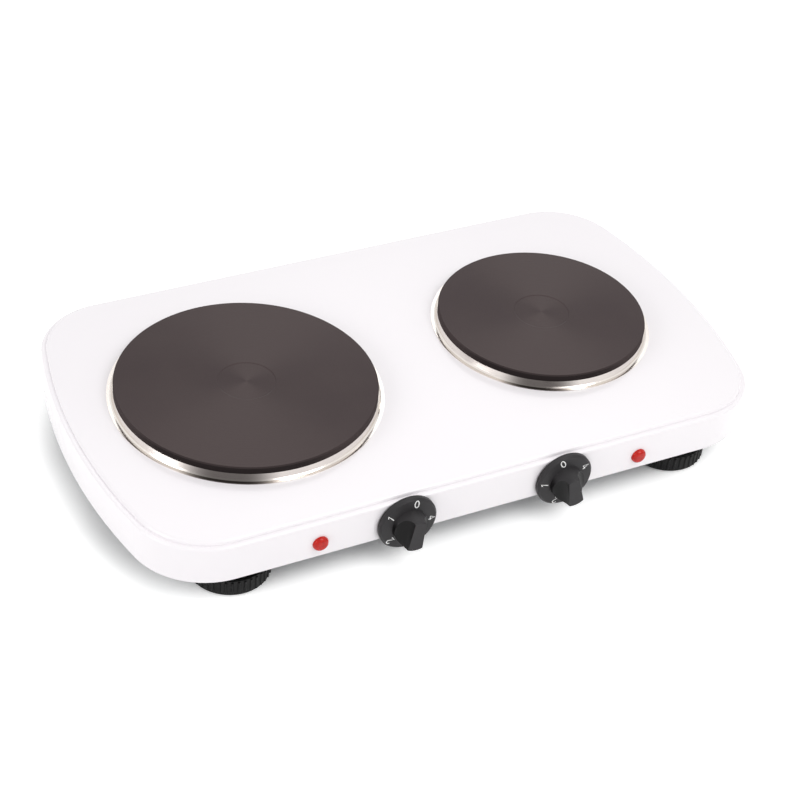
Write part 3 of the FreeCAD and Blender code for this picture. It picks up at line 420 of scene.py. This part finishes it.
def iron_material(plate):
    """Dark coated cast iron: a turned face with a painted sheen in two sectors, and rougher cast sides.

    The sides have painted shade in one sector.
    """
    centre = middle(f"{plate}_plate")
    material, shader = new_material(f"{plate}_cast_iron", {
        "Anisotropic": 0.55,
        "Specular IOR Level": 0.25,
        "Specular Tint": rgb(1.0, 0.84, 0.84),
    })
    tree = material.node_tree
    turning = use_group(material, TURNING, Centre=centre, Pitch=0.0009)
    tone = use_group(
        material, TONE, Scale=16.0, First=rgb(0.038, 0.027, 0.028), Second=rgb(0.044, 0.032, 0.032)
    )
    grain = use_group(material, GRAIN, Scale=1500.0, Low=0.4, High=0.52)
    # A painted sheen in two sectors on the turned face.
    face = use_group(
        material, PAINTED_SECTORS, Centre=centre, Count=2.0, Turn=FACE_SHEEN_TURN, Tint=rgb(0.055, 0.0405, 0.04)
    )
    link(material, tone.outputs["Color"], face.inputs["Plain"])
    # Painted shade in one sector on the cast sides.
    sides = use_group(
        material, PAINTED_SECTORS, Centre=centre, Count=1.0, Turn=PAINTED_SHADE_AND_REFLECTION_TURN, Edge=0.6, Full=0.9,
        Plain=rgb(0.042, 0.032, 0.032), Tint=rgb(0.014, 0.0105, 0.0105)
    )
    level = use_group(material, LEVEL).outputs["Mask"]
    colour = mix_node(tree, "RGBA", level, sides.outputs["Color"], face.outputs["Color"])
    rough = mix_node(tree, "FLOAT", level, CAST_ROUGHNESS, grain.outputs["Spread"])
    link(material, colour, shader.inputs["Base Color"])
    link(material, rough, shader.inputs["Roughness"])
    tangent = tree.nodes.new("ShaderNodeTangent")
    tangent.direction_type = "RADIAL"
    tangent.axis = "Z"
    link(material, tangent.outputs["Tangent"], shader.inputs["Tangent"])
    under = add_bump(material, shader, grain.outputs["Height"], distance=0.00004, strength=0.5)
    add_bump(material, shader, turning.outputs["Height"], distance=0.00012, strength=0.6, under=under)
    return material


def ring_material(plate):
    """Bright spun sheet: fine marks running round it, and dark sectors painted for a reflection."""
    centre = middle(f"{plate}_trim_ring")
    material, shader = new_material(f"{plate}_bright_steel", {"Metallic": 1.0, "Anisotropic": 0.4})
    turning = use_group(material, TURNING, Centre=centre, Pitch=0.0003)
    tone = use_group(
        material, TONE, Scale=40.0, First=rgb(0.78, 0.73, 0.69), Second=rgb(0.84, 0.79, 0.74)
    )
    grain = use_group(material, GRAIN, Scale=300.0, Low=0.1, High=0.17)
    # A painted dark reflection in two sectors on the sheet.
    spun = use_group(
        material, PAINTED_SECTORS, Centre=centre, Count=2.0, Turn=PAINTED_SHADE_AND_REFLECTION_TURN, Edge=0.7, Full=0.99,
        Tint=rgb(0.13, 0.117, 0.11)
    )
    link(material, tone.outputs["Color"], spun.inputs["Plain"])
    link(material, spun.outputs["Color"], shader.inputs["Base Color"])
    link(material, grain.outputs["Spread"], shader.inputs["Roughness"])
    add_bump(material, shader, turning.outputs["Height"], distance=0.00003, strength=0.4)
    return material


def knob_material():
    """Black phenolic, with painted shade on the flanks of the grips, inside their hollows."""
    material, shader = new_material("black_phenolic", {"Specular IOR Level": 0.15})
    tree = material.node_tree
    tone = use_group(
        material, TONE, Scale=30.0, First=rgb(0.032, 0.0304, 0.032), Second=rgb(0.038, 0.0361, 0.038)
    )
    grain = use_group(material, GRAIN, Scale=2200.0, Low=0.36, High=0.44)
    # A flank looks to the side, and neither along the pointer nor straight to the front.
    facing = parts_of(tree, tree.nodes.new("ShaderNodeTexCoord").outputs["Normal"])
    sideways = range_node(tree, math_node(tree, "ABSOLUTE", facing["X"]), FLANK_SIDEWAYS)
    across = range_node(tree, math_node(tree, "ABSOLUTE", facing["Z"]), FLANK_UPRIGHT)
    # The grips are all that stands in front of the dials.
    dial_front = joints["left_knob_turn"]["pos_m"][1] - DIAL_TO_WALL - DIAL_CROWN
    on_grip = math_node(tree, "LESS_THAN", parts_of(tree, place_of(tree))["Y"], dial_front)
    # Painted shade on the flanks of the grips.
    flank = math_node(tree, "MULTIPLY", math_node(tree, "MULTIPLY", sideways, across), on_grip)
    colour = mix_node(tree, "RGBA", flank, tone.outputs["Color"], rgb(*FLANK_SHADE))
    link(material, colour, shader.inputs["Base Color"])
    link(material, grain.outputs["Spread"], shader.inputs["Roughness"])
    add_bump(material, shader, grain.outputs["Height"], distance=0.00002, strength=0.5)
    return material


def paint(node, material):
    """Give a node its material."""
    if node.material_slots:
        for place in node.material_slots:
            place.material = material
    else:
        node.data.materials.append(material)


def paint_nodes():
    """Every node's material, by its slot in the record and, for turned pieces, by its plate."""
    by_slot = {slot: plain_material(slot, **finish) for slot, finish in FINISHES.items()}
    by_slot["black_phenolic"] = knob_material()
    for plate in PLATES:
        paint(nodes[f"{plate}_plate"], iron_material(plate))
        paint(nodes[f"{plate}_trim_ring"], ring_material(plate))
    for subpart in frame["record"]["subparts"]:
        if subpart["material_slot"] in by_slot:
            paint(nodes[subpart["node"]], by_slot[subpart["material_slot"]])


# Figures printed on the dials.

def bow(centre_y, width, height, start, stop, steps=14):
    """Points on part of an ellipse, angles in degrees."""
    points = []
    for k in range(steps + 1):
        angle = math.radians(start + (stop - start) * k / steps)
        points.append((width * math.cos(angle), centre_y + height * math.sin(angle)))
    return points


# Each figure is one line in a box one unit high, with its middle at the origin.
FIGURES = {
    "0": bow(0, 0.26, 0.46, 90, 450, 28),
    "1": [(-0.17, 0.24), (0.06, 0.46), (0.06, -0.46)],
    "2": bow(0.2, 0.26, 0.26, 170, -25) + [(-0.27, -0.46), (0.28, -0.46)],
    "3": bow(0.23, 0.22, 0.23, 150, -80) + bow(-0.2, 0.26, 0.26, 80, -150),
    "4": [(0.13, -0.46), (0.13, 0.46), (-0.27, -0.2), (0.3, -0.2)],
}


def figure_mesh(name, points):
    """One figure as a thin raised line of ink."""
    curve = bpy.data.curves.new(name, "CURVE")
    curve.dimensions = "3D"
    curve.bevel_depth = FIGURE_STROKE / 2
    curve.bevel_resolution = 2
    curve.use_fill_caps = True
    line = curve.splines.new("POLY")
    line.points.add(len(points) - 1)
    for point, (x, y) in zip(line.points, points):
        point.co = (x * FIGURE_HEIGHT, y * FIGURE_HEIGHT, 0, 1)
    shape = bpy.data.objects.new(name, curve)
    bpy.context.scene.collection.objects.link(shape)
    bpy.context.view_layer.update()
    mesh = bpy.data.meshes.new_from_object(shape)
    bpy.data.objects.remove(shape)
    mesh.transform(Matrix.Diagonal((1, 1, FIGURE_FLATNESS, 1)))
    return mesh


def build_figures():
    """Five figures round each dial, laid on its sloping face, tops outward, turning with the knob."""
    ink = plain_material("figure_ink", **FIGURE_INK)
    toward_front = Matrix.Rotation(math.pi / 2, 4, "X")
    for side in SIDES:
        axis = Vector(joints[f"{side}_knob_turn"]["pos_m"])
        low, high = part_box(f"{side}_knob")
        edge_radius = (high.z - low.z) / 2 - DIAL_BEVEL
        slope = math.atan2(DIAL_CROWN - DIAL_FACE, edge_radius - GRIP_BASE_RADIUS)
        level = DIAL_FACE + (edge_radius - FIGURE_RADIUS) * math.tan(slope)
        dial = Matrix.Translation(axis - Vector((0, DIAL_TO_WALL, 0))) @ toward_front
        lift = Matrix.Translation((0, FIGURE_RADIUS, level)) @ Matrix.Rotation(-slope, 4, "X")
        for k, (text, points) in enumerate(FIGURES.items()):
            turn = FIGURE_TURN[side] + k * math.tau / len(FIGURES)
            name = f"{side}_dial_figure_{text}"
            figure = bpy.data.objects.new(name, figure_mesh(name, points))
            bpy.context.scene.collection.objects.link(figure)
            lean = Matrix.Rotation(FIGURE_LEAN.get(text, 0.0), 4, "Z")
            figure.matrix_world = dial @ Matrix.Rotation(turn, 4, "Z") @ lift @ lean
            figure.data.materials.append(ink)
            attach(figure, f"{side}_knob")


# Floor, light and camera.

def seen_ray(tree):
    """1 on rays that are seen, straight or in a mirror or through glass, and 0 on those that only light."""
    path = tree.nodes.new("ShaderNodeLightPath").outputs
    straight_or_mirrored = math_node(tree, "MAXIMUM", path["Is Camera Ray"], path["Is Glossy Ray"])
    return math_node(tree, "MAXIMUM", straight_or_mirrored, path["Is Transmission Ray"])


def past_shadow(tree):
    """The floor's painted glow: none under the housing, and full past the shadow at its edges."""
    low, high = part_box("housing")
    core = (high - low) / 2 - SHADOW_INSET - Vector((SHADOW_CORNER, SHADOW_CORNER, 0))
    offset = vector_node(tree, "SUBTRACT", place_of(tree), middle("housing"))
    past_core = vector_node(tree, "SUBTRACT", vector_node(tree, "ABSOLUTE", offset), core)
    outside = vector_node(tree, "MAXIMUM", past_core, (0, 0, 0))
    in_plan = vector_node(tree, "MULTIPLY", outside, (1, 1, 0))
    reach = vector_node(tree, "LENGTH", in_plan)
    fade = (SHADOW_CORNER, SHADOW_CORNER + SHADOW_FADE)
    return range_node(tree, reach, fade, (0.0, FLOOR_LIFT), curve="SMOOTHSTEP")


def build_floor():
    """A pale floor that keeps the shadow under the object, and past it a painted glow that fades into the white
    surround.
    """
    half = FLOOR_SIZE / 2
    mesh = bpy.data.meshes.new("floor")
    corners = [(-half, -half, 0), (half, -half, 0), (half, half, 0), (-half, half, 0)]
    mesh.from_pydata(corners, [], [(0, 1, 2, 3)])
    floor = bpy.data.objects.new("floor", mesh)
    bpy.context.scene.collection.objects.link(floor)
    material, shader = new_material("pale_floor", {
        "Base Color": rgb(FLOOR_TONE, FLOOR_TONE, FLOOR_TONE),
        "Roughness": FLOOR_ROUGHNESS,
        "Specular IOR Level": 0.0,
    })
    tree = material.node_tree
    # A painted glow past the housing's shadow, on seen rays only.
    glow = tree.nodes.new("ShaderNodeEmission")
    link(material, math_node(tree, "MULTIPLY", seen_ray(tree), past_shadow(tree)), glow.inputs["Strength"])
    both = tree.nodes.new("ShaderNodeAddShader")
    link(material, shader.outputs[0], both.inputs[0])
    link(material, glow.outputs[0], both.inputs[1])
    link(material, both.outputs[0], tree.nodes["Material Output"].inputs["Surface"])
    mesh.materials.append(material)


def build_light():
    """A bright even surround, white where it is seen, and soft lamps behind, in front and at the left."""
    world = bpy.data.worlds.new("studio")
    world.use_nodes = True
    tree = world.node_tree
    surround = tree.nodes["Background"]
    white = tree.nodes.new("ShaderNodeBackground")
    for shade, strength in ((surround, WORLD_STRENGTH), (white, 1.0)):
        shade.inputs["Color"].default_value = rgb(1, 1, 1)
        shade.inputs["Strength"].default_value = strength
    choose = tree.nodes.new("ShaderNodeMixShader")
    feed(tree, choose.inputs, (seen_ray(tree), surround.outputs[0], white.outputs[0]))
    tree.links.new(choose.outputs[0], tree.nodes["World Output"].inputs["Surface"])
    bpy.context.scene.world = world
    for name, lamp in LAMPS.items():
        light = bpy.data.lights.new(name, "AREA")
        light.shape = "DISK"
        light.size = lamp["width"]
        light.energy = lamp["watts"]
        stand = bpy.data.objects.new(name, light)
        stand.location = lamp["place"]
        stand.rotation_euler = (-lamp["place"]).to_track_quat("-Z", "Y").to_euler()
        bpy.context.scene.collection.objects.link(stand)


def build_camera():
    """The photograph's viewpoint."""
    aim = middle("housing")
    aim.x += AIM_RIGHT
    aim.y += AIM_BACK
    aim.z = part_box("large_plate")[1].z
    level = math.cos(CAMERA_ELEVATION)
    back = Vector((
        math.sin(CAMERA_AZIMUTH) * level,
        -math.cos(CAMERA_AZIMUTH) * level,
        math.sin(CAMERA_ELEVATION),
    ))
    right = Vector((math.cos(CAMERA_AZIMUTH), math.sin(CAMERA_AZIMUTH), 0))
    upright = back.cross(right)
    axes = Matrix((right, upright, back)).transposed().to_4x4()
    camera = bpy.data.cameras.new("photo")
    camera.sensor_width = SENSOR_WIDTH
    camera.lens = FOCAL_PIXELS / PHOTO_WIDTH * SENSOR_WIDTH
    view = bpy.data.objects.new("photo", camera)
    stand = Matrix.Translation(aim + back * CAMERA_DISTANCE)
    view.matrix_world = stand @ axes @ Matrix.Rotation(CAMERA_ROLL, 4, "Z")
    bpy.context.scene.collection.objects.link(view)
    bpy.context.scene.camera = view


paint_nodes()
build_figures()
build_floor()
build_light()
build_camera()
bpy.context.scene.view_settings.view_transform = "Standard"
